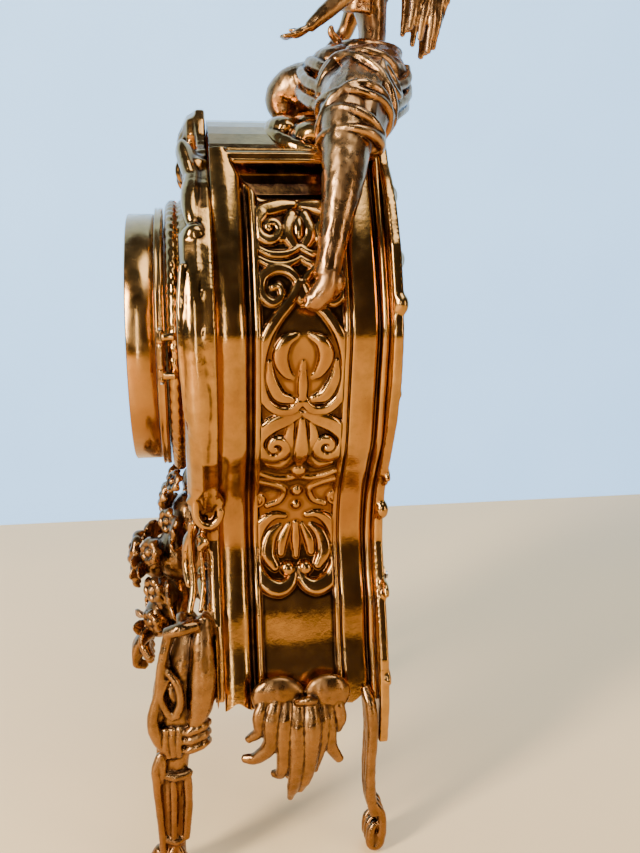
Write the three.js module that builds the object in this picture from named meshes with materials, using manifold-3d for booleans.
// Cast-brass rococo mantel clock with a seated winged figure on top. Millimetres, +Z up, front faces -Y.
import * as THREE from 'three';
import { mergeVertices } from 'three/addons/utils/BufferGeometryUtils.js';
import Module from 'manifold-3d';

const wasm = await Module();
wasm.setup();

// ---------- driving dimensions ----------
const GAP = 0.3;                    // clearance between pieces that touch
const Y_CENTRE = 50;                // depth of the middle of the whole clock, which becomes Y = 0
const DIAL_Z = 264;                 // height of the dial's centre
const CASE_FRONT = 12.3;            // depth where the side panels begin
const CASE_BACK = 90;               // depth where they end
const PLATE_T = 5;                  // ground thickness of the cast front plate
const FRONT_FACE = CASE_FRONT - GAP - PLATE_T;
const BACK_T = 5;                   // thickness of the back plate
const BACK_FACE = CASE_BACK + GAP;
const BEZEL_R = 64;                 // outer radius of the hinged bezel
const BEZEL_FRONT = -28.5;
const BEZEL_BACK = -15;
const SEAT_R = 73;                  // outer radius of the fixed ring behind the bezel
const DIAL_OPENING_R = 52;          // hole in the front plate that the movement passes through
const DOOR_OPENING_R = 46;          // hole in the back plate
const HINGE_X = BEZEL_R + 6;        // both hinge lines stand at this X
const MOVE_FRONT = 22;              // depth of the movement's front plate
const MOVE_BACK = 58;               // depth of its back plate
const MOVE_T = 2.5;                 // thickness of a movement plate
const MOVE_HALF_W = 38;
const MOVE_HALF_H = 50;
const TOP_EDGE_Z = 353;             // height of the top plate at its sides
const TOP_RISE = 21;                // how much higher the middle of the top plate is

const group = new THREE.Group();

// ---------- materials ----------
const BRASS = [0xb98a3e, 0.35, 1.0];
const CAST = [0xa97a35, 0.42, 1.0];
const STEEL = [0x8d9094, 0.35, 1.0];
const GLASS = [0xdfe8ea, 0.05, 0.0];
const ENAMEL = [0xf2efe4, 0.3, 0.0];
const BLUED = [0x1e2638, 0.3, 0.9];

// ---------- solid helpers ----------
function solid(geometry) {
  const clean = geometry.clone();
  clean.deleteAttribute('normal');
  clean.deleteAttribute('uv');
  const merged = mergeVertices(clean, 1e-4);
  const vertProperties = new Float32Array(merged.attributes.position.array);
  const triVerts = new Uint32Array(merged.index.array);
  return new wasm.Manifold(new wasm.Mesh({ numProp: 3, vertProperties, triVerts }));
}

function geometryOf(manifold) {
  const mesh = manifold.getMesh();
  const geometry = new THREE.BufferGeometry();
  geometry.setAttribute('position', new THREE.BufferAttribute(new Float32Array(mesh.vertProperties), 3));
  geometry.setIndex(new THREE.BufferAttribute(new Uint32Array(mesh.triVerts), 1));
  return geometry;
}

function fuse(parts) {
  return geometryOf(parts.map(solid).reduce((sum, next) => sum.add(next)));
}

function cut(base, tools) {
  return geometryOf(tools.map(solid).reduce((rest, tool) => rest.subtract(tool), solid(base)));
}

function add(name, geometry, [color, roughness, metalness]) {
  const moved = geometry.index ? geometry.toNonIndexed() : geometry.clone();
  moved.deleteAttribute('normal');
  moved.deleteAttribute('uv');
  moved.translate(0, -Y_CENTRE, 0);
  moved.computeVertexNormals();
  const material = new THREE.MeshStandardMaterial({ color, roughness, metalness });
  const mesh = new THREE.Mesh(moved, material);
  mesh.name = name;
  group.add(mesh);
}

// A flat outline in X and Z given thickness from depth y0 to depth y1.
function slab(shape, y0, y1, segments = 4) {
  const geometry = new THREE.ExtrudeGeometry(shape, {
    depth: y1 - y0, bevelEnabled: false, curveSegments: segments,
  });
  geometry.rotateX(Math.PI / 2);
  geometry.translate(0, y1, 0);
  return geometry;
}

// A flat outline in Y and Z given thickness from x0 to x1.
function sideSlab(shape, x0, x1, segments = 3) {
  const geometry = new THREE.ExtrudeGeometry(shape, {
    depth: x1 - x0, bevelEnabled: false, curveSegments: segments,
  });
  geometry.rotateX(Math.PI / 2);
  geometry.rotateZ(Math.PI / 2);
  geometry.translate(x0, 0, 0);
  return geometry;
}

function circle(x, z, r, Kind = THREE.Path) {
  const path = new Kind();
  path.absarc(x, z, r, 0, 2 * Math.PI, false);
  return path;
}

// A round piece on an axis along Y, with an optional round bore.
function disc(x, z, r, y0, y1, bore = 0, segments = 6) {
  const shape = circle(x, z, r, THREE.Shape);
  if (bore > 0) shape.holes.push(circle(x, z, bore));
  return slab(shape, y0, y1, segments);
}

function box(x0, x1, y0, y1, z0, z1) {
  const geometry = new THREE.BoxGeometry(x1 - x0, y1 - y0, z1 - z0);
  geometry.translate((x0 + x1) / 2, (y0 + y1) / 2, (z0 + z1) / 2);
  return geometry;
}

function ball(x, y, z, rx, ry = rx, rz = rx, around = 8, up = 6) {
  const geometry = new THREE.SphereGeometry(1, around, up);
  geometry.scale(rx, ry, rz);
  geometry.translate(x, y, z);
  return geometry;
}

// A round limb that tapers from radius ra at point a to radius rb at point b, with rounded ends.
function limb(a, b, ra, rb, sides = 6) {
  const from = new THREE.Vector3(...a);
  const to = new THREE.Vector3(...b);
  const run = to.clone().sub(from);
  const geometry = new THREE.CylinderGeometry(rb, ra, run.length(), sides);
  geometry.applyQuaternion(new THREE.Quaternion().setFromUnitVectors(
    new THREE.Vector3(0, 1, 0), run.clone().normalize()));
  geometry.translate(...from.add(to).multiplyScalar(0.5).toArray());
  return geometry;
}

function mirrored(geometry) {
  const flipped = geometry.index ? geometry.toNonIndexed() : geometry.clone();
  flipped.scale(-1, 1, 1);
  const position = flipped.attributes.position.array;
  for (let i = 0; i < position.length; i += 9) {
    for (let k = 0; k < 3; k += 1) {
      [position[i + 3 + k], position[i + 6 + k]] = [position[i + 6 + k], position[i + 3 + k]];
    }
  }
  return flipped;
}

// A closed outline whose right half runs smoothly through the given points from top to bottom.
function mirroredOutline(half, steps) {
  const curve = new THREE.CatmullRomCurve3(half.map(([x, z]) => new THREE.Vector3(x, z, 0)), false, 'centripetal');
  const right = curve.getPoints(steps).map((p) => new THREE.Vector2(Math.max(p.x, 0), p.y));
  const left = right.slice(1, -1).reverse().map((p) => new THREE.Vector2(-p.x, p.y));
  return new THREE.Shape([...right, ...left]);
}

// ---------- the case ----------
// Half width of the side panels at each height: shoulder, drum, waist and flared base.
const CASE_PROFILE = [
  [53, 356], [60, 343], [65, 333], [73, 316], [80, 298], [86, 276], [83, 257], [80, 243],
  [75, 222], [65, 207], [55, 191], [51, 176], [51, 163], [55, 148], [61, 133], [65, 113], [70, 99], [74, 84],
];
const profileCurve = new THREE.CatmullRomCurve3(
  CASE_PROFILE.map(([x, z]) => new THREE.Vector3(x, 0, z)), false, 'centripetal');

// A strip that follows the case profile between two offsets outwards.
function profileStrip(inner, outer, y0, y1, from = 0, to = 1, steps = 14) {
  const near = [];
  const far = [];
  for (let i = 0; i <= steps; i += 1) {
    const t = from + (to - from) * (i / steps);
    const p = profileCurve.getPoint(t);
    const d = profileCurve.getTangent(t);
    const normal = new THREE.Vector2(-d.z, d.x);
    near.push(new THREE.Vector2(p.x + normal.x * outer, p.z + normal.y * outer));
    far.push(new THREE.Vector2(p.x + normal.x * inner, p.z + normal.y * inner));
  }
  return slab(new THREE.Shape([...near, ...far.reverse()]), y0, y1);
}

const PANEL_T = 4;
const BAND_FRONT = [CASE_FRONT, CASE_FRONT + 13];
const BAND_BACK = [CASE_BACK - 11, CASE_BACK];

function sidePanel() {
  const sheet = profileStrip(-PANEL_T, 0, CASE_FRONT, CASE_BACK);
  const front = profileStrip(-PANEL_T, 3, ...BAND_FRONT);
  const back = profileStrip(-PANEL_T, 2.4, ...BAND_BACK);
  const bead = profileStrip(-1, 1.6, CASE_FRONT + 17, CASE_FRONT + 19.5);
  const backBead = profileStrip(-1, 1.6, CASE_BACK - 15, CASE_BACK - 12.5);
  const foot = new THREE.Shape();
  foot.moveTo(CASE_FRONT + 6, 70);
  foot.lineTo(CASE_BACK - 6, 70);
  foot.lineTo(CASE_BACK - 6, 84);
  foot.quadraticCurveTo((CASE_FRONT + CASE_BACK) / 2, 116, CASE_FRONT + 6, 84);
  return cut(fuse([sheet, front, back, bead, backBead]), [sideSlab(foot, 40, 95, 8)]);
}
const sideGeometry = sidePanel();
add('side_panel_right', sideGeometry, CAST);
add('side_panel_left', mirrored(sideGeometry), CAST);

// Acanthus drop under each side panel, standing just outside it.
function sideLeaf() {
  const middle = (CASE_FRONT + CASE_BACK) / 2;
  const outline = new THREE.Shape();
  outline.moveTo(middle, 96);
  outline.quadraticCurveTo(middle - 14, 108, middle - 24, 100);
  outline.lineTo(middle - 27, 84);
  outline.lineTo(middle - 29, 62);
  outline.lineTo(middle - 18, 60);
  outline.lineTo(middle - 12, 48);
  outline.lineTo(middle - 7, 33);
  outline.lineTo(middle + 2, 38);
  outline.lineTo(middle + 8, 58);
  outline.lineTo(middle + 18, 52);
  outline.lineTo(middle + 16, 80);
  outline.lineTo(middle + 22, 100);
  outline.quadraticCurveTo(middle + 12, 108, middle, 96);
  const rib = limb([82, middle - 2, 92], [82, middle - 5, 38], 4, 2, 8);
  return fuse([sideSlab(outline, 79.6, 83.6, 5), rib]);
}
const leafGeometry = sideLeaf();
add('side_leaf_right', leafGeometry, CAST);
add('side_leaf_left', mirrored(leafGeometry), CAST);

// Front plate: a cast plate with a crest, raised edge scrolls and two console legs.
const FRONT_HALF = [
  [0, 379], [9, 378], [15, 370], [22, 361], [34, 358], [45, 350], [54, 345], [66, 336], [80, 318], [93, 296],
  [98, 274], [95, 248], [86, 222], [70, 202], [60, 184], [60, 166], [68, 146], [78, 128], [84, 108], [80, 92],
  [66, 88], [46, 100], [24, 92], [0, 84],
];

function frontLeg() {
  const leg = new THREE.Shape();
  leg.moveTo(FRONT_FACE + 2, 132);
  leg.quadraticCurveTo(-12, 132, -16, 112);
  leg.quadraticCurveTo(-25, 98, -25, 84);
  leg.quadraticCurveTo(-24, 72, -17, 66);
  leg.quadraticCurveTo(-23, 50, -22, 40);
  leg.quadraticCurveTo(-21, 20, -20, 0);
  leg.lineTo(-9, 0);
  leg.quadraticCurveTo(-4, 14, -7, 28);
  leg.quadraticCurveTo(-8, 50, -1, 66);
  leg.quadraticCurveTo(4, 76, 4, 90);
  leg.lineTo(FRONT_FACE + 2, 96);
  return sideSlab(leg, 70, 90, 4);
}

function edgeScroll() {
  const curve = new THREE.CatmullRomCurve3(FRONT_HALF.slice(8, 15).map(
    ([x, z]) => new THREE.Vector3(x - 9, FRONT_FACE - 2, z)), false, 'centripetal');
  const section = new THREE.Shape();
  section.absellipse(0, 0, 8, 8, 0, 2 * Math.PI, false);
  return new THREE.ExtrudeGeometry(section, { steps: 14, extrudePath: curve, curveSegments: 4, bevelEnabled: false });
}

function frontPlate() {
  const outline = mirroredOutline(FRONT_HALF, 28);
  outline.holes.push(circle(0, DIAL_Z, DIAL_OPENING_R));
  const plate = slab(outline, FRONT_FACE, CASE_FRONT - GAP, 12);
  const crest = ball(0, FRONT_FACE - 1, 366, 15, 6, 12);
  const rightScroll = edgeScroll();
  const shoulder = ball(40, FRONT_FACE, 346, 12, 8, 9);
  const leg = frontLeg();
  const rear = box(-110, 110, CASE_FRONT - GAP, 40, 0, 420);
  const whole = fuse([
    plate, crest, rightScroll, mirrored(rightScroll), shoulder, mirrored(shoulder), leg, mirrored(leg),
  ]);
  return cut(whole, [rear, disc(0, DIAL_Z, SEAT_R + 0.6, -60, FRONT_FACE, 0, 16)]);
}
add('front_plate', frontPlate(), CAST);

// Apron ornament: shells, leaves and flowers on the front plate under the dial.
function frontGarland() {
  const parts = [
    ball(0, -6, 186, 14, 12, 12), ball(0, -12, 166, 20, 18, 15), ball(0, -20, 142, 24, 17, 17),
    ball(0, -22, 118, 22, 16, 16), ball(0, -18, 94, 17, 15, 20), ball(18, -4, 160, 12, 10, 14),
    ball(-18, -4, 160, 12, 10, 14), ball(26, -6, 128, 13, 11, 18), ball(-26, -6, 128, 13, 11, 18),
    ball(0, -28, 130, 11, 10, 10),
  ];
  const rear = box(-80, 80, FRONT_FACE - GAP, 40, 40, 240);
  return cut(fuse(parts), [rear, disc(0, DIAL_Z, SEAT_R + 0.6, -60, 20, 0, 16)]);
}
add('front_garland', frontGarland(), CAST);

// Back plate with its round door opening and beaded outline.
const BACK_HALF = [
  [0, 374], [20, 372], [34, 364], [50, 362], [60, 348], [70, 340], [84, 318], [93, 292], [95, 266], [88, 238],
  [74, 212], [62, 192], [58, 172], [64, 148], [74, 122], [80, 98], [80, 64], [70, 60], [56, 82], [30, 94], [0, 86],
];
function backPlate() {
  const outline = mirroredOutline(BACK_HALF, 26);
  outline.holes.push(circle(0, DIAL_Z, DOOR_OPENING_R));
  for (const [x, z] of RODS) outline.holes.push(circle(x, z, ROD_R + GAP));
  return slab(outline, BACK_FACE, BACK_FACE + BACK_T, 10);
}

// Tie rods hold the front and back plates together through the case.
const ROD_R = 2;
const RODS = [[44, 326], [-44, 326], [44, 140], [-44, 140]];
add('back_plate', backPlate(), CAST);
RODS.forEach(([x, z], i) => {
  add(`case_rod_${i + 1}`, disc(x, z, ROD_R, CASE_FRONT, BACK_FACE + BACK_T + 6, 0, 6), STEEL);
  add(`case_rod_nut_${i + 1}`, disc(x, z, 5, BACK_FACE + BACK_T + GAP, BACK_FACE + BACK_T + 4.3, ROD_R + GAP, 6), BRASS);
});

// Back legs: thin curved straps with scroll feet, fixed inside the panels' rear corners.
function backLeg() {
  const leg = new THREE.Shape();
  leg.moveTo(CASE_BACK - 6, 81);
  leg.lineTo(CASE_BACK, 81);
  leg.quadraticCurveTo(CASE_BACK - 3, 50, CASE_BACK + 1, 22);
  leg.quadraticCurveTo(CASE_BACK + 5, 16, CASE_BACK + 4, 6);
  leg.quadraticCurveTo(CASE_BACK + 3, 0, CASE_BACK, 0);
  leg.lineTo(CASE_BACK - 6, 0);
  leg.quadraticCurveTo(CASE_BACK - 5, 24, CASE_BACK - 7, 40);
  leg.quadraticCurveTo(CASE_BACK - 8, 60, CASE_BACK - 6, 81);
  return sideSlab(leg, 68, 84, 4);
}
const backLegGeometry = backLeg();
add('back_leg_right', backLegGeometry, CAST);
add('back_leg_left', mirrored(backLegGeometry), CAST);

// Domed top plate between the shoulders of the case.
const TOP_HALF_W = 50;
const TOP_T = 3;
const TOP_FRONT = CASE_FRONT + 0.5;
const TOP_BACK = CASE_BACK - 0.5;
function topPlate() {
  const shape = new THREE.Shape();
  shape.moveTo(-TOP_HALF_W, TOP_EDGE_Z);
  shape.quadraticCurveTo(0, TOP_EDGE_Z + 2 * TOP_RISE, TOP_HALF_W, TOP_EDGE_Z);
  shape.lineTo(TOP_HALF_W - 2, TOP_EDGE_Z - TOP_T);
  shape.quadraticCurveTo(0, TOP_EDGE_Z + 2 * TOP_RISE - 2 * TOP_T, -TOP_HALF_W + 2, TOP_EDGE_Z - TOP_T);
  return cut(slab(shape, TOP_FRONT, TOP_BACK, 12), [studHole()]);
}
const STUD_Y = 76;
const STUD_R = 2.5;
function upright(x, y, r, z0, z1, sides = 12) {
  const geometry = new THREE.CylinderGeometry(r, r, z1 - z0, sides);
  geometry.rotateX(Math.PI / 2);
  geometry.translate(x, y, (z0 + z1) / 2);
  return geometry;
}
function studHole() {
  return upright(0, STUD_Y, STUD_R + GAP, 360, 380);
}
add('top_plate', topPlate(), CAST);

// ---------- the figure ----------
const SEAT_Z = TOP_EDGE_Z + TOP_RISE + GAP;
function underTop(extra) {
  return slab(new THREE.Shape([
    new THREE.Vector2(-60, 340),
    ...Array.from({ length: 25 }, (_, i) => {
      const t = i / 24;
      const x = -60 + 120 * t;
      const rise = Math.abs(x) < TOP_HALF_W ? 1 - (x / TOP_HALF_W) ** 2 : 0;
      return new THREE.Vector2(x, TOP_EDGE_Z + TOP_RISE * rise + extra);
    }),
    new THREE.Vector2(60, 340),
  ]), -20, 150);
}
function mound() {
  const body = ball(2, 76, 370, 34, 26, 14, 18, 10);
  return cut(body, [underTop(1), upright(0, STUD_Y, STUD_R + GAP, 355, 400), box(-120, 120, 0, 200, 376.5, 420),
    box(-120, 120, CASE_BACK, 200, 300, 420)]);
}
add('figure_mound', mound(), CAST);

function figureBody() {
  const parts = [
    ball(4, 90, 388, 22, 19, 15), limb([4, 92, 390], [4, 98, 420], 14, 12), ball(4, 98, 430, 18, 13, 17),
    ball(2, 95, 447, 19, 10, 8), limb([2, 94, 448], [2, 91, 462], 6, 5.5), ball(2, 89, 473, 12, 14, 16),
    limb([12, 88, 388], [58, 76, 376], 13, 11), ball(60, 75, 373, 11, 12, 12),
    limb([62, 75, 372], [90, 62, 306], 9.5, 5.5), ball(91, 60, 300, 6, 7, 7), limb([91, 62, 299], [93.6, 50, 288], 6, 4),
    limb([-4, 86, 390], [-8, 54, 386], 12, 10), ball(-8, 53, 386, 10, 10, 10),
    limb([18, 96, 446], [26, 78, 428], 6, 4.8), limb([26, 78, 428], [28, 58, 412], 4.8, 3.2), ball(28, 55, 410, 4, 6, 3),
    limb([-15, 96, 446], [-27, 90, 422], 6, 5), limb([-27, 90, 422], [-16, 68, 400], 5, 3.6),
    ball(-14, 64, 398, 5, 6, 4),
  ];
  const seat = box(-120, 55, 0, 200, 300, 376.8);
  return cut(fuse(parts), [seat, upright(0, STUD_Y, 4.5, 360, 384)]);
}
add('figure_body', figureBody(), CAST);

// Two folded wings behind the shoulders, joined by a bridge across the back.
function figureWings() {
  const wing = new THREE.Shape();
  wing.moveTo(112, 436);
  wing.quadraticCurveTo(116, 466, 128, 468);
  wing.quadraticCurveTo(138, 464, 138, 446);
  wing.quadraticCurveTo(138, 424, 127, 405);
  wing.quadraticCurveTo(124, 412, 117, 416);
  wing.closePath();
  const right = sideSlab(wing, 3, 12, 5);
  return fuse([right, mirrored(right), box(-6, 6, 114.5, 124, 434, 446)]);
}
add('figure_wings', figureWings(), CAST);
add('figure_stud', upright(0, STUD_Y, STUD_R, 356, 383.5), STEEL);
add('figure_nut', fuse([cut(upright(0, STUD_Y, 6, 362.5, 367, 6), [upright(0, STUD_Y, STUD_R + GAP, 350, 380)])]), BRASS);

// ---------- dial and hands ----------
const DIAL_Y = -12;
const WIND_X = 24;
const WIND_Z = DIAL_Z - 14;
function dial() {
  const shape = circle(0, DIAL_Z, 52.4, THREE.Shape);
  shape.holes.push(circle(0, DIAL_Z, 6.5));
  shape.holes.push(circle(WIND_X, WIND_Z, 4));
  shape.holes.push(circle(-WIND_X, WIND_Z, 4));
  return fuse([slab(shape, DIAL_Y, DIAL_Y + 1.2, 9), disc(0, DIAL_Z, 52.4, DIAL_Y + 1, 2, 50, 9)]);
}
add('dial', dial(), ENAMEL);

function hand(length, width, y0, y1, bore, turn) {
  const shape = new THREE.Shape();
  shape.moveTo(-width / 2, 3);
  shape.quadraticCurveTo(-width * 1.6, length * 0.5, -width / 3, length * 0.62);
  shape.lineTo(0, length);
  shape.lineTo(width / 3, length * 0.62);
  shape.quadraticCurveTo(width * 1.6, length * 0.5, width / 2, 3);
  const blade = slab(shape, y0, y1, 5);
  const whole = cut(fuse([blade, disc(0, 0, bore + 2.4, y0, y1, 0, 10)]), [disc(0, 0, bore, y0 - 1, y1 + 1, 0, 10)]);
  whole.rotateY(turn);
  whole.translate(0, 0, DIAL_Z);
  return whole;
}
add('hour_hand', hand(26, 4, -14.3, -13.3, 4.6, THREE.MathUtils.degToRad(-52)), BLUED);
add('minute_hand', hand(42, 3, -16.6, -15.6, 2.4, THREE.MathUtils.degToRad(55)), BLUED);
add('hand_nut', disc(0, DIAL_Z, 3.2, -18.6, -16.9, 1.3, 8), BRASS);

// ---------- hinged bezel ----------
add('bezel_rim', disc(0, DIAL_Z, BEZEL_R, BEZEL_FRONT, BEZEL_BACK, BEZEL_R - 5, 16), BRASS);
add('bezel_sight_ring', disc(0, DIAL_Z, BEZEL_R - 5 - GAP, -24.5, -22.5, BEZEL_R - 12, 12), BRASS);
add('bezel_glass', disc(0, DIAL_Z, BEZEL_R - 5 - GAP, -22.2, -20.2, 0, 12), GLASS);
const KNUCKLE_R = 2.2;
const HINGE_Y = -12.3;
function bezelFlange() {
  const ring = disc(0, DIAL_Z, BEZEL_R + 3, BEZEL_BACK + GAP, BEZEL_BACK + 4.6, BEZEL_R - 8, 12);
  const knuckle = upright(HINGE_X, HINGE_Y, KNUCKLE_R, DIAL_Z - 6, DIAL_Z + 6, 10);
  const catchTab = box(-BEZEL_R - 9, -BEZEL_R, BEZEL_BACK + GAP, BEZEL_BACK + 2.5, DIAL_Z - 3, DIAL_Z + 3);
  const tab = box(BEZEL_R, HINGE_X, BEZEL_BACK + GAP, HINGE_Y, DIAL_Z - 6, DIAL_Z + 6);
  return cut(fuse([ring, knuckle, catchTab, tab]), [upright(HINGE_X, HINGE_Y, 1 + GAP, DIAL_Z - 20, DIAL_Z + 20, 8)]);
}
add('bezel_flange', bezelFlange(), BRASS);
// The fixed ring behind the bezel carries the hinge's two outer knuckles.
function bezelSeat() {
  const ring = disc(0, DIAL_Z, SEAT_R, -9.4, FRONT_FACE - GAP, 53, 12);
  const knuckles = [-1, 1].map((side) => {
    const near = DIAL_Z + side * 6.4;
    const far = DIAL_Z + side * 11.4;
    const [low, high] = side > 0 ? [near, far] : [far, near];
    return fuse([upright(HINGE_X, HINGE_Y, KNUCKLE_R, low, high, 10),
      box(HINGE_X - 0.6, HINGE_X + 2.1, HINGE_Y, -5, low, high)]);
  });
  return cut(fuse([ring, ...knuckles]), [upright(HINGE_X, HINGE_Y, 1 + GAP, DIAL_Z - 20, DIAL_Z + 20, 8)]);
}
add('bezel_seat', bezelSeat(), CAST);
add('bezel_hinge_pin', upright(HINGE_X, HINGE_Y, 1, DIAL_Z - 13, DIAL_Z + 13, 8), STEEL);

// ---------- back door ----------
const DOOR_R = 50;
const KNOB_X = -42;
const DOOR_Y = BACK_FACE + BACK_T + GAP;
const DOOR_T = 1.5;
const DOOR_HINGE_X = 55;
const DOOR_HINGE_Y = DOOR_Y + 2;
function backDoor() {
  const plate = disc(0, DIAL_Z, DOOR_R, DOOR_Y, DOOR_Y + DOOR_T, 0, 14);
  const strap = box(DOOR_R - 4, DOOR_HINGE_X, DOOR_Y, DOOR_Y + DOOR_T, DIAL_Z - 6, DIAL_Z + 6);
  const knuckle = upright(DOOR_HINGE_X, DOOR_HINGE_Y, 2, DIAL_Z - 6, DIAL_Z + 6, 10);
  const holes = [upright(DOOR_HINGE_X, DOOR_HINGE_Y, 1 + GAP, DIAL_Z - 20, DIAL_Z + 20, 8),
    disc(KNOB_X, DIAL_Z, 1.5 + GAP, DOOR_Y - 5, DOOR_Y + 5, 0, 8)];
  return cut(fuse([plate, strap, knuckle]), holes);
}
add('back_door', backDoor(), BRASS);
add('back_door_hinge_pin', upright(DOOR_HINGE_X, DOOR_HINGE_Y, 1, DIAL_Z - 12, DIAL_Z + 12, 8), STEEL);
add('back_door_knob', fuse([
  disc(KNOB_X, DIAL_Z, 1.5, DOOR_Y - 2, DOOR_Y + 4, 0, 8),
  ball(KNOB_X, DOOR_Y + 5.6, DIAL_Z, 3.6, 3, 3.6, 12, 8),
]), BRASS);

// ---------- gears ----------
const PRESSURE = THREE.MathUtils.degToRad(20);
const THIN = 0.78;                  // share of half a pitch that a tooth fills
const PLAIN_FROM = 30;              // wheels with this many teeth or more have straight flanks

function involute(angle) {
  return Math.tan(angle) - angle;
}

function gearShape(x, z, teeth, module, phase) {
  const pitchR = teeth * module / 2;
  const baseR = pitchR * Math.cos(PRESSURE);
  const tipR = pitchR + 0.85 * module;
  const rootR = pitchR - 1.25 * module;
  const halfTooth = Math.PI / (2 * teeth) * THIN + involute(PRESSURE);
  const halfAt = (r) => halfTooth - involute(Math.acos(Math.min(1, baseR / r)));
  const lowR = Math.max(rootR + 0.01, baseR);
  const round = [[rootR, halfAt(lowR)], [pitchR, halfAt(pitchR)], [tipR, halfAt(tipR)]];
  const plain = [[rootR, halfAt(lowR)], [tipR, halfAt(tipR)]];
  const flank = teeth < PLAIN_FROM ? round : plain;
  const points = [];
  for (let i = 0; i < teeth; i += 1) {
    const centre = phase + 2 * Math.PI * i / teeth;
    const sides = [...flank.map(([r, a]) => [r, centre - a]), ...flank.map(([r, a]) => [r, centre + a]).reverse()];
    for (const [r, a] of sides) points.push(new THREE.Vector2(x + r * Math.cos(a), z + r * Math.sin(a)));
  }
  return new THREE.Shape(points);
}

function gear([x, z], teeth, module, phase, y0, y1, bore = 0) {
  const shape = gearShape(x, z, teeth, module, phase);
  if (bore > 0) shape.holes.push(circle(x, z, bore));
  return slab(shape, y0, y1, 4);
}

function apart([ax, az], [bx, bz]) {
  return Math.hypot(bx - ax, bz - az);
}

// The phase that puts gear B's gap on gear A's tooth where the two meet.
function meshPhase(a, teethA, phaseA, b, teethB) {
  const line = Math.atan2(b[1] - a[1], b[0] - a[0]);
  return line + Math.PI + Math.PI / teethB - (phaseA - line) * teethA / teethB;
}

function polar([x, z], distance, degrees) {
  const angle = THREE.MathUtils.degToRad(degrees);
  return [x + distance * Math.cos(angle), z + distance * Math.sin(angle)];
}

// ---------- movement: arbor places and tooth counts ----------
const CENTRE = [0, DIAL_Z];
const GOING = [WIND_X, WIND_Z];
const STRIKE = [-WIND_X, WIND_Z];
const THIRD = [12, DIAL_Z + 18];
const ESCAPE = [0, DIAL_Z + 31];
const ANCHOR = [0, DIAL_Z + 45];
const MINUTE = [0, DIAL_Z + 24];
const BARREL_TEETH = 48;
const CENTRE_PINION = 8;
const CENTRE_TEETH = 40;
const THIRD_PINION = 8;
const THIRD_TEETH = 40;
const ESCAPE_PINION = 8;
const CANNON_TEETH = 10;
const MINUTE_TEETH = 30;
const MINUTE_PINION = 8;
const HOUR_TEETH = 32;
const PIN_PINION = 8;
const PIN_TEETH = 40;
const FLY_PINION = 8;
const moduleFor = (distance, n1, n2) => 2 * distance / (n1 + n2);
const BARREL_M = moduleFor(apart(GOING, CENTRE), BARREL_TEETH, CENTRE_PINION);
const CENTRE_M = moduleFor(apart(CENTRE, THIRD), CENTRE_TEETH, THIRD_PINION);
const THIRD_M = moduleFor(apart(THIRD, ESCAPE), THIRD_TEETH, ESCAPE_PINION);
const CANNON_M = moduleFor(apart(CENTRE, MINUTE), CANNON_TEETH, MINUTE_TEETH);
const HOUR_M = moduleFor(apart(CENTRE, MINUTE), MINUTE_PINION, HOUR_TEETH);
const PIN = polar(STRIKE, apart(GOING, CENTRE), 105);
const PIN_M = 0.58;
const FLY = polar(PIN, PIN_M * (PIN_TEETH + FLY_PINION) / 2, 70);
const BACK_INNER = MOVE_BACK - GAP;
const FRONT_INNER = MOVE_FRONT + MOVE_T + GAP;
const PIVOT_R = 1;                  // arbor ends that run in the plates
const PILLARS = [[34, 46], [-34, 46], [34, -46], [-34, -46]].map(([x, z]) => [x, DIAL_Z + z]);
const PILLAR_R = 2;

function movementPlate(y0, holes) {
  const shape = new THREE.Shape();
  shape.moveTo(-MOVE_HALF_W, DIAL_Z - MOVE_HALF_H);
  shape.lineTo(MOVE_HALF_W, DIAL_Z - MOVE_HALF_H);
  shape.lineTo(MOVE_HALF_W, DIAL_Z + MOVE_HALF_H);
  shape.lineTo(-MOVE_HALF_W, DIAL_Z + MOVE_HALF_H);
  for (const [[x, z], r] of holes) shape.holes.push(circle(x, z, r + GAP));
  return slab(shape, y0, y0 + MOVE_T, 4);
}
const pillarHoles = PILLARS.map((p) => [p, PILLAR_R]);
const trainHoles = [THIRD, ESCAPE, PIN, FLY, ANCHOR].map((p) => [p, PIVOT_R]);
add('movement_front_plate', movementPlate(MOVE_FRONT,
  [...pillarHoles, ...trainHoles, [CENTRE, 2.2], [GOING, 2.4], [STRIKE, 2.4]]), BRASS);
// The back plate also carries the stud that the hammer turns on.
const HAMMER_PIVOT = [-36, DIAL_Z - 34];
add('movement_back_plate', fuse([
  movementPlate(MOVE_BACK, [...pillarHoles, ...trainHoles, [CENTRE, PIVOT_R], [GOING, 2.4], [STRIKE, 2.4]]),
  disc(...HAMMER_PIVOT, 1, MOVE_BACK + 1, MOVE_BACK + MOVE_T + 6.5, 0, 4),
]), BRASS);
PILLARS.forEach(([x, z], i) => {
  const shaft = disc(x, z, PILLAR_R, CASE_FRONT, MOVE_BACK + MOVE_T + 2, 0, 6);
  const waist = disc(x, z, 3.6, FRONT_INNER, BACK_INNER, 0, 6);
  add(`movement_pillar_${i + 1}`, fuse([shaft, waist]), BRASS);
});

// Going train.
function arbor([x, z], r, y0, y1) {
  return disc(x, z, r, y0, y1, 0, 6);
}
const centrePhase = 0;
add('centre_arbor', fuse([
  gear(CENTRE, CENTRE_PINION, BARREL_M, centrePhase, 25.5, 30.5),
  gear(CENTRE, CENTRE_TEETH, CENTRE_M, centrePhase, 43, 44.5),
  arbor(CENTRE, 2.2, -16, 43.5), arbor(CENTRE, PIVOT_R, 43, MOVE_BACK + MOVE_T),
  arbor(CENTRE, 1, -19.5, -15), gear(CENTRE, CANNON_TEETH, CANNON_M, centrePhase, 14, 18),
]), BRASS);

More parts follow.
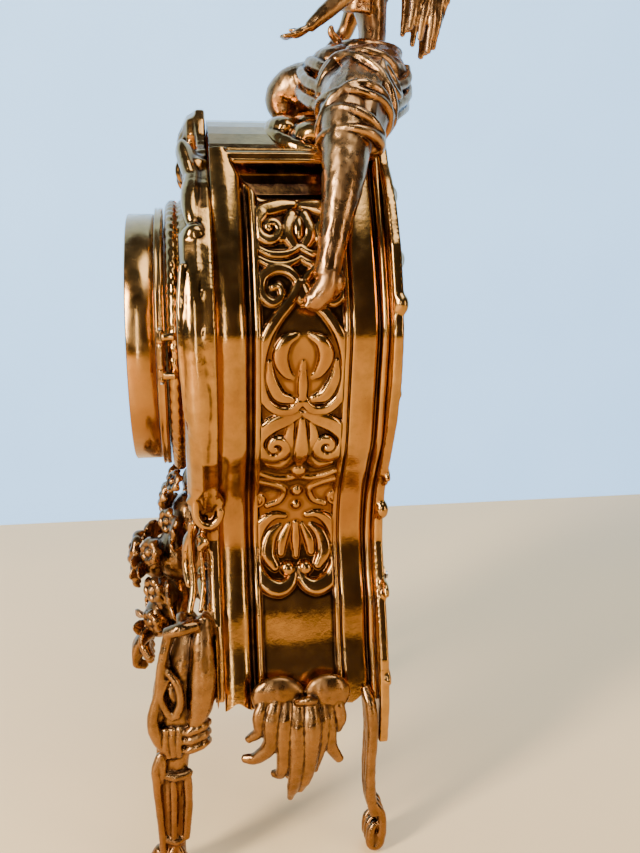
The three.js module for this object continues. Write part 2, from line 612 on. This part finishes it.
const thirdPhase = meshPhase(CENTRE, CENTRE_TEETH, centrePhase, THIRD, THIRD_PINION);
add('third_wheel', fuse([
  gear(THIRD, THIRD_PINION, CENTRE_M, thirdPhase, 41.5, 46), gear(THIRD, THIRD_TEETH, THIRD_M, 0, 48, 49.5),
  arbor(THIRD, 1.6, FRONT_INNER, BACK_INNER), arbor(THIRD, PIVOT_R, MOVE_FRONT, MOVE_BACK + MOVE_T),
]), BRASS);

// Escape wheel with thirty pointed teeth.
const ESCAPE_R = 9;
function escapeRim(phase) {
  const points = [];
  for (let i = 0; i < 30; i += 1) {
    const a = phase + 2 * Math.PI * i / 30;
    points.push(new THREE.Vector2(ESCAPE[0] + 7.4 * Math.cos(a), ESCAPE[1] + 7.4 * Math.sin(a)));
    const tip = a + Math.PI / 30;
    points.push(new THREE.Vector2(ESCAPE[0] + ESCAPE_R * Math.cos(tip), ESCAPE[1] + ESCAPE_R * Math.sin(tip)));
  }
  return slab(new THREE.Shape(points), 53, 54.2);
}
const escapePhase = meshPhase(THIRD, THIRD_TEETH, 0, ESCAPE, ESCAPE_PINION);
add('escape_wheel', fuse([
  gear(ESCAPE, ESCAPE_PINION, THIRD_M, escapePhase, 46.5, 51), escapeRim(0),
  arbor(ESCAPE, 1.5, FRONT_INNER, BACK_INNER), arbor(ESCAPE, PIVOT_R, MOVE_FRONT, MOVE_BACK + MOVE_T),
]), STEEL);

function anchor() {
  const shape = new THREE.Shape();
  shape.moveTo(-2.5, ANCHOR[1] + 2);
  shape.lineTo(2.5, ANCHOR[1] + 2);
  shape.lineTo(10, ANCHOR[1] - 5);
  shape.lineTo(9.4, ANCHOR[1] - 10.5);
  shape.lineTo(7.6, ANCHOR[1] - 5.2);
  shape.lineTo(0, ANCHOR[1] - 2.6);
  shape.lineTo(-7.6, ANCHOR[1] - 5.2);
  shape.lineTo(-9.4, ANCHOR[1] - 10.5);
  shape.lineTo(-10, ANCHOR[1] - 5);
  const crutch = box(-1, 1, MOVE_BACK + MOVE_T + 2, MOVE_BACK + MOVE_T + 3.5, ANCHOR[1] - 28, ANCHOR[1] + 2);
  return fuse([slab(shape, 53, 54.2), arbor(ANCHOR, 1.5, FRONT_INNER, BACK_INNER),
    arbor(ANCHOR, PIVOT_R, MOVE_FRONT, MOVE_BACK + MOVE_T + 3), crutch]);
}
add('anchor', anchor(), STEEL);

// Pendulum hung from a cock on the movement's back plate.
const PENDULUM_Y = MOVE_BACK + MOVE_T + 6;
const BOB_Z = 196;
add('pendulum', fuse([
  disc(0, ANCHOR[1], 2.6, PENDULUM_Y - 1, PENDULUM_Y + 1, 1 + GAP, 8),
  box(-1, 1, PENDULUM_Y - 0.7, PENDULUM_Y + 0.7, BOB_Z, ANCHOR[1] - 2),
  ball(0, PENDULUM_Y, BOB_Z, 12, 3.4, 12, 16, 8),
]), BRASS);
add('suspension_cock', fuse([
  box(-6, 6, MOVE_BACK + MOVE_T + GAP, MOVE_BACK + MOVE_T + 2, DIAL_Z + 51.2, DIAL_Z + 57),
  box(-3, 3, MOVE_BACK + MOVE_T + GAP, PENDULUM_Y + 4, DIAL_Z + 51.2, DIAL_Z + 54),
  box(-2, 2, PENDULUM_Y + 1.6, PENDULUM_Y + 4, ANCHOR[1] - 2, DIAL_Z + 54),
  disc(0, ANCHOR[1], 1, PENDULUM_Y - 1.6, PENDULUM_Y + 2, 0, 6),
]), BRASS);

// Motion work between the movement and the dial.
const minutePhase = meshPhase(CENTRE, CANNON_TEETH, centrePhase, MINUTE, MINUTE_TEETH);
add('minute_wheel', fuse([
  gear(MINUTE, MINUTE_TEETH, CANNON_M, minutePhase, 15, 16.6, 1.3),
  gear(MINUTE, MINUTE_PINION, HOUR_M, 0, 9, 15.2, 1.3),
]), BRASS);
const hourPhase = meshPhase(MINUTE, MINUTE_PINION, 0, CENTRE, HOUR_TEETH);
add('hour_wheel', fuse([
  gear(CENTRE, HOUR_TEETH, HOUR_M, hourPhase, 10.5, 12.2, 2.6), disc(0, DIAL_Z, 4.3, -14.8, 11, 2.6, 6),
]), BRASS);
add('minute_wheel_stud', fuse([
  disc(MINUTE[0], MINUTE[1], 1, 8, MOVE_FRONT - GAP, 0, 6), disc(MINUTE[0], MINUTE[1], 2.6, 17, MOVE_FRONT - GAP, 0, 6),
]), STEEL);

// Barrels and their winding arbors.
const DRUM_R = 19;
const goingPhase = meshPhase(CENTRE, CENTRE_PINION, centrePhase, GOING, BARREL_TEETH);
add('going_barrel', fuse([
  gear(GOING, BARREL_TEETH, BARREL_M, goingPhase, 26.5, 28.5, 2.8), disc(...GOING, DRUM_R, 28, 40.5, 2.8, 12),
]), BRASS);
add('strike_barrel', fuse([
  gear(STRIKE, BARREL_TEETH, BARREL_M, 0, 38.4, 40.4, 2.8), disc(...STRIKE, DRUM_R, 26, 38.8, 2.8, 12),
]), BRASS);
for (const [name, place] of [['going_winding_arbor', GOING], ['strike_winding_arbor', STRIKE]]) {
  const square = box(place[0] - 1.7, place[0] + 1.7, -9, 6, place[1] - 1.7, place[1] + 1.7);
  add(name, fuse([square, arbor(place, 2.4, 5, MOVE_BACK + MOVE_T)]), STEEL);
}

// Strike train, hammer and bell.
const pinPhase = meshPhase(STRIKE, BARREL_TEETH, 0, PIN, PIN_PINION);
add('strike_pin_wheel', fuse([
  gear(PIN, PIN_PINION, BARREL_M, pinPhase, 37, 42), gear(PIN, PIN_TEETH, PIN_M, 0, 46, 47.5),
  arbor(PIN, 1.5, FRONT_INNER, BACK_INNER), arbor(PIN, PIVOT_R, MOVE_FRONT, MOVE_BACK + MOVE_T),
]), BRASS);
const flyPhase = meshPhase(PIN, PIN_TEETH, 0, FLY, FLY_PINION);
add('strike_fly', fuse([
  gear(FLY, FLY_PINION, PIN_M, flyPhase, 45, 48.5), box(FLY[0] - 8, FLY[0] + 8, 51, 56.5, FLY[1] - 0.4, FLY[1] + 0.4),
  arbor(FLY, 1.2, FRONT_INNER, BACK_INNER), arbor(FLY, PIVOT_R, MOVE_FRONT, MOVE_BACK + MOVE_T),
]), BRASS);

const BELL_R = 27;
const BELL_Z = DIAL_Z - 6;
function bell() {
  const wall = 1.6;
  const profile = [[3, 84], [12, 84], [20, 80], [24.5, 76], [BELL_R, 71], [BELL_R - wall, 71], [24.5 - wall, 75.2],
    [19, 78.6], [12, 82.4], [3, 82.4], [3, 84]].map(([r, y]) => new THREE.Vector2(r, y)).reverse();
  const cup = new THREE.LatheGeometry(profile, 20);
  cup.translate(0, 0, BELL_Z);
  return cup;
}
add('bell', bell(), BRASS);
add('bell_stand', fuse([
  limb([24, MOVE_BACK + MOVE_T + GAP, DIAL_Z - 44], [24, 87.5, DIAL_Z - 44], 2.4, 2.4, 8),
  limb([24.8, 86.2, DIAL_Z - 45], [-1, 86.2, BELL_Z + 1], 1.6, 1.6, 8),
  disc(0, BELL_Z, 2.6, 81, 87.6, 0, 8),
]), STEEL);
add('hammer', fuse([
  disc(...HAMMER_PIVOT, 2.6, 62, 66, PIVOT_R + GAP, 5),
  limb([HAMMER_PIVOT[0] + 0.2, 64.5, HAMMER_PIVOT[1] + 2], [-33.5, 64.5, BELL_Z], 1.2, 1.2, 6),
  disc(-33.5, BELL_Z, 2.6, 62.5, 80, 0, 8),
]), STEEL);

export default group;
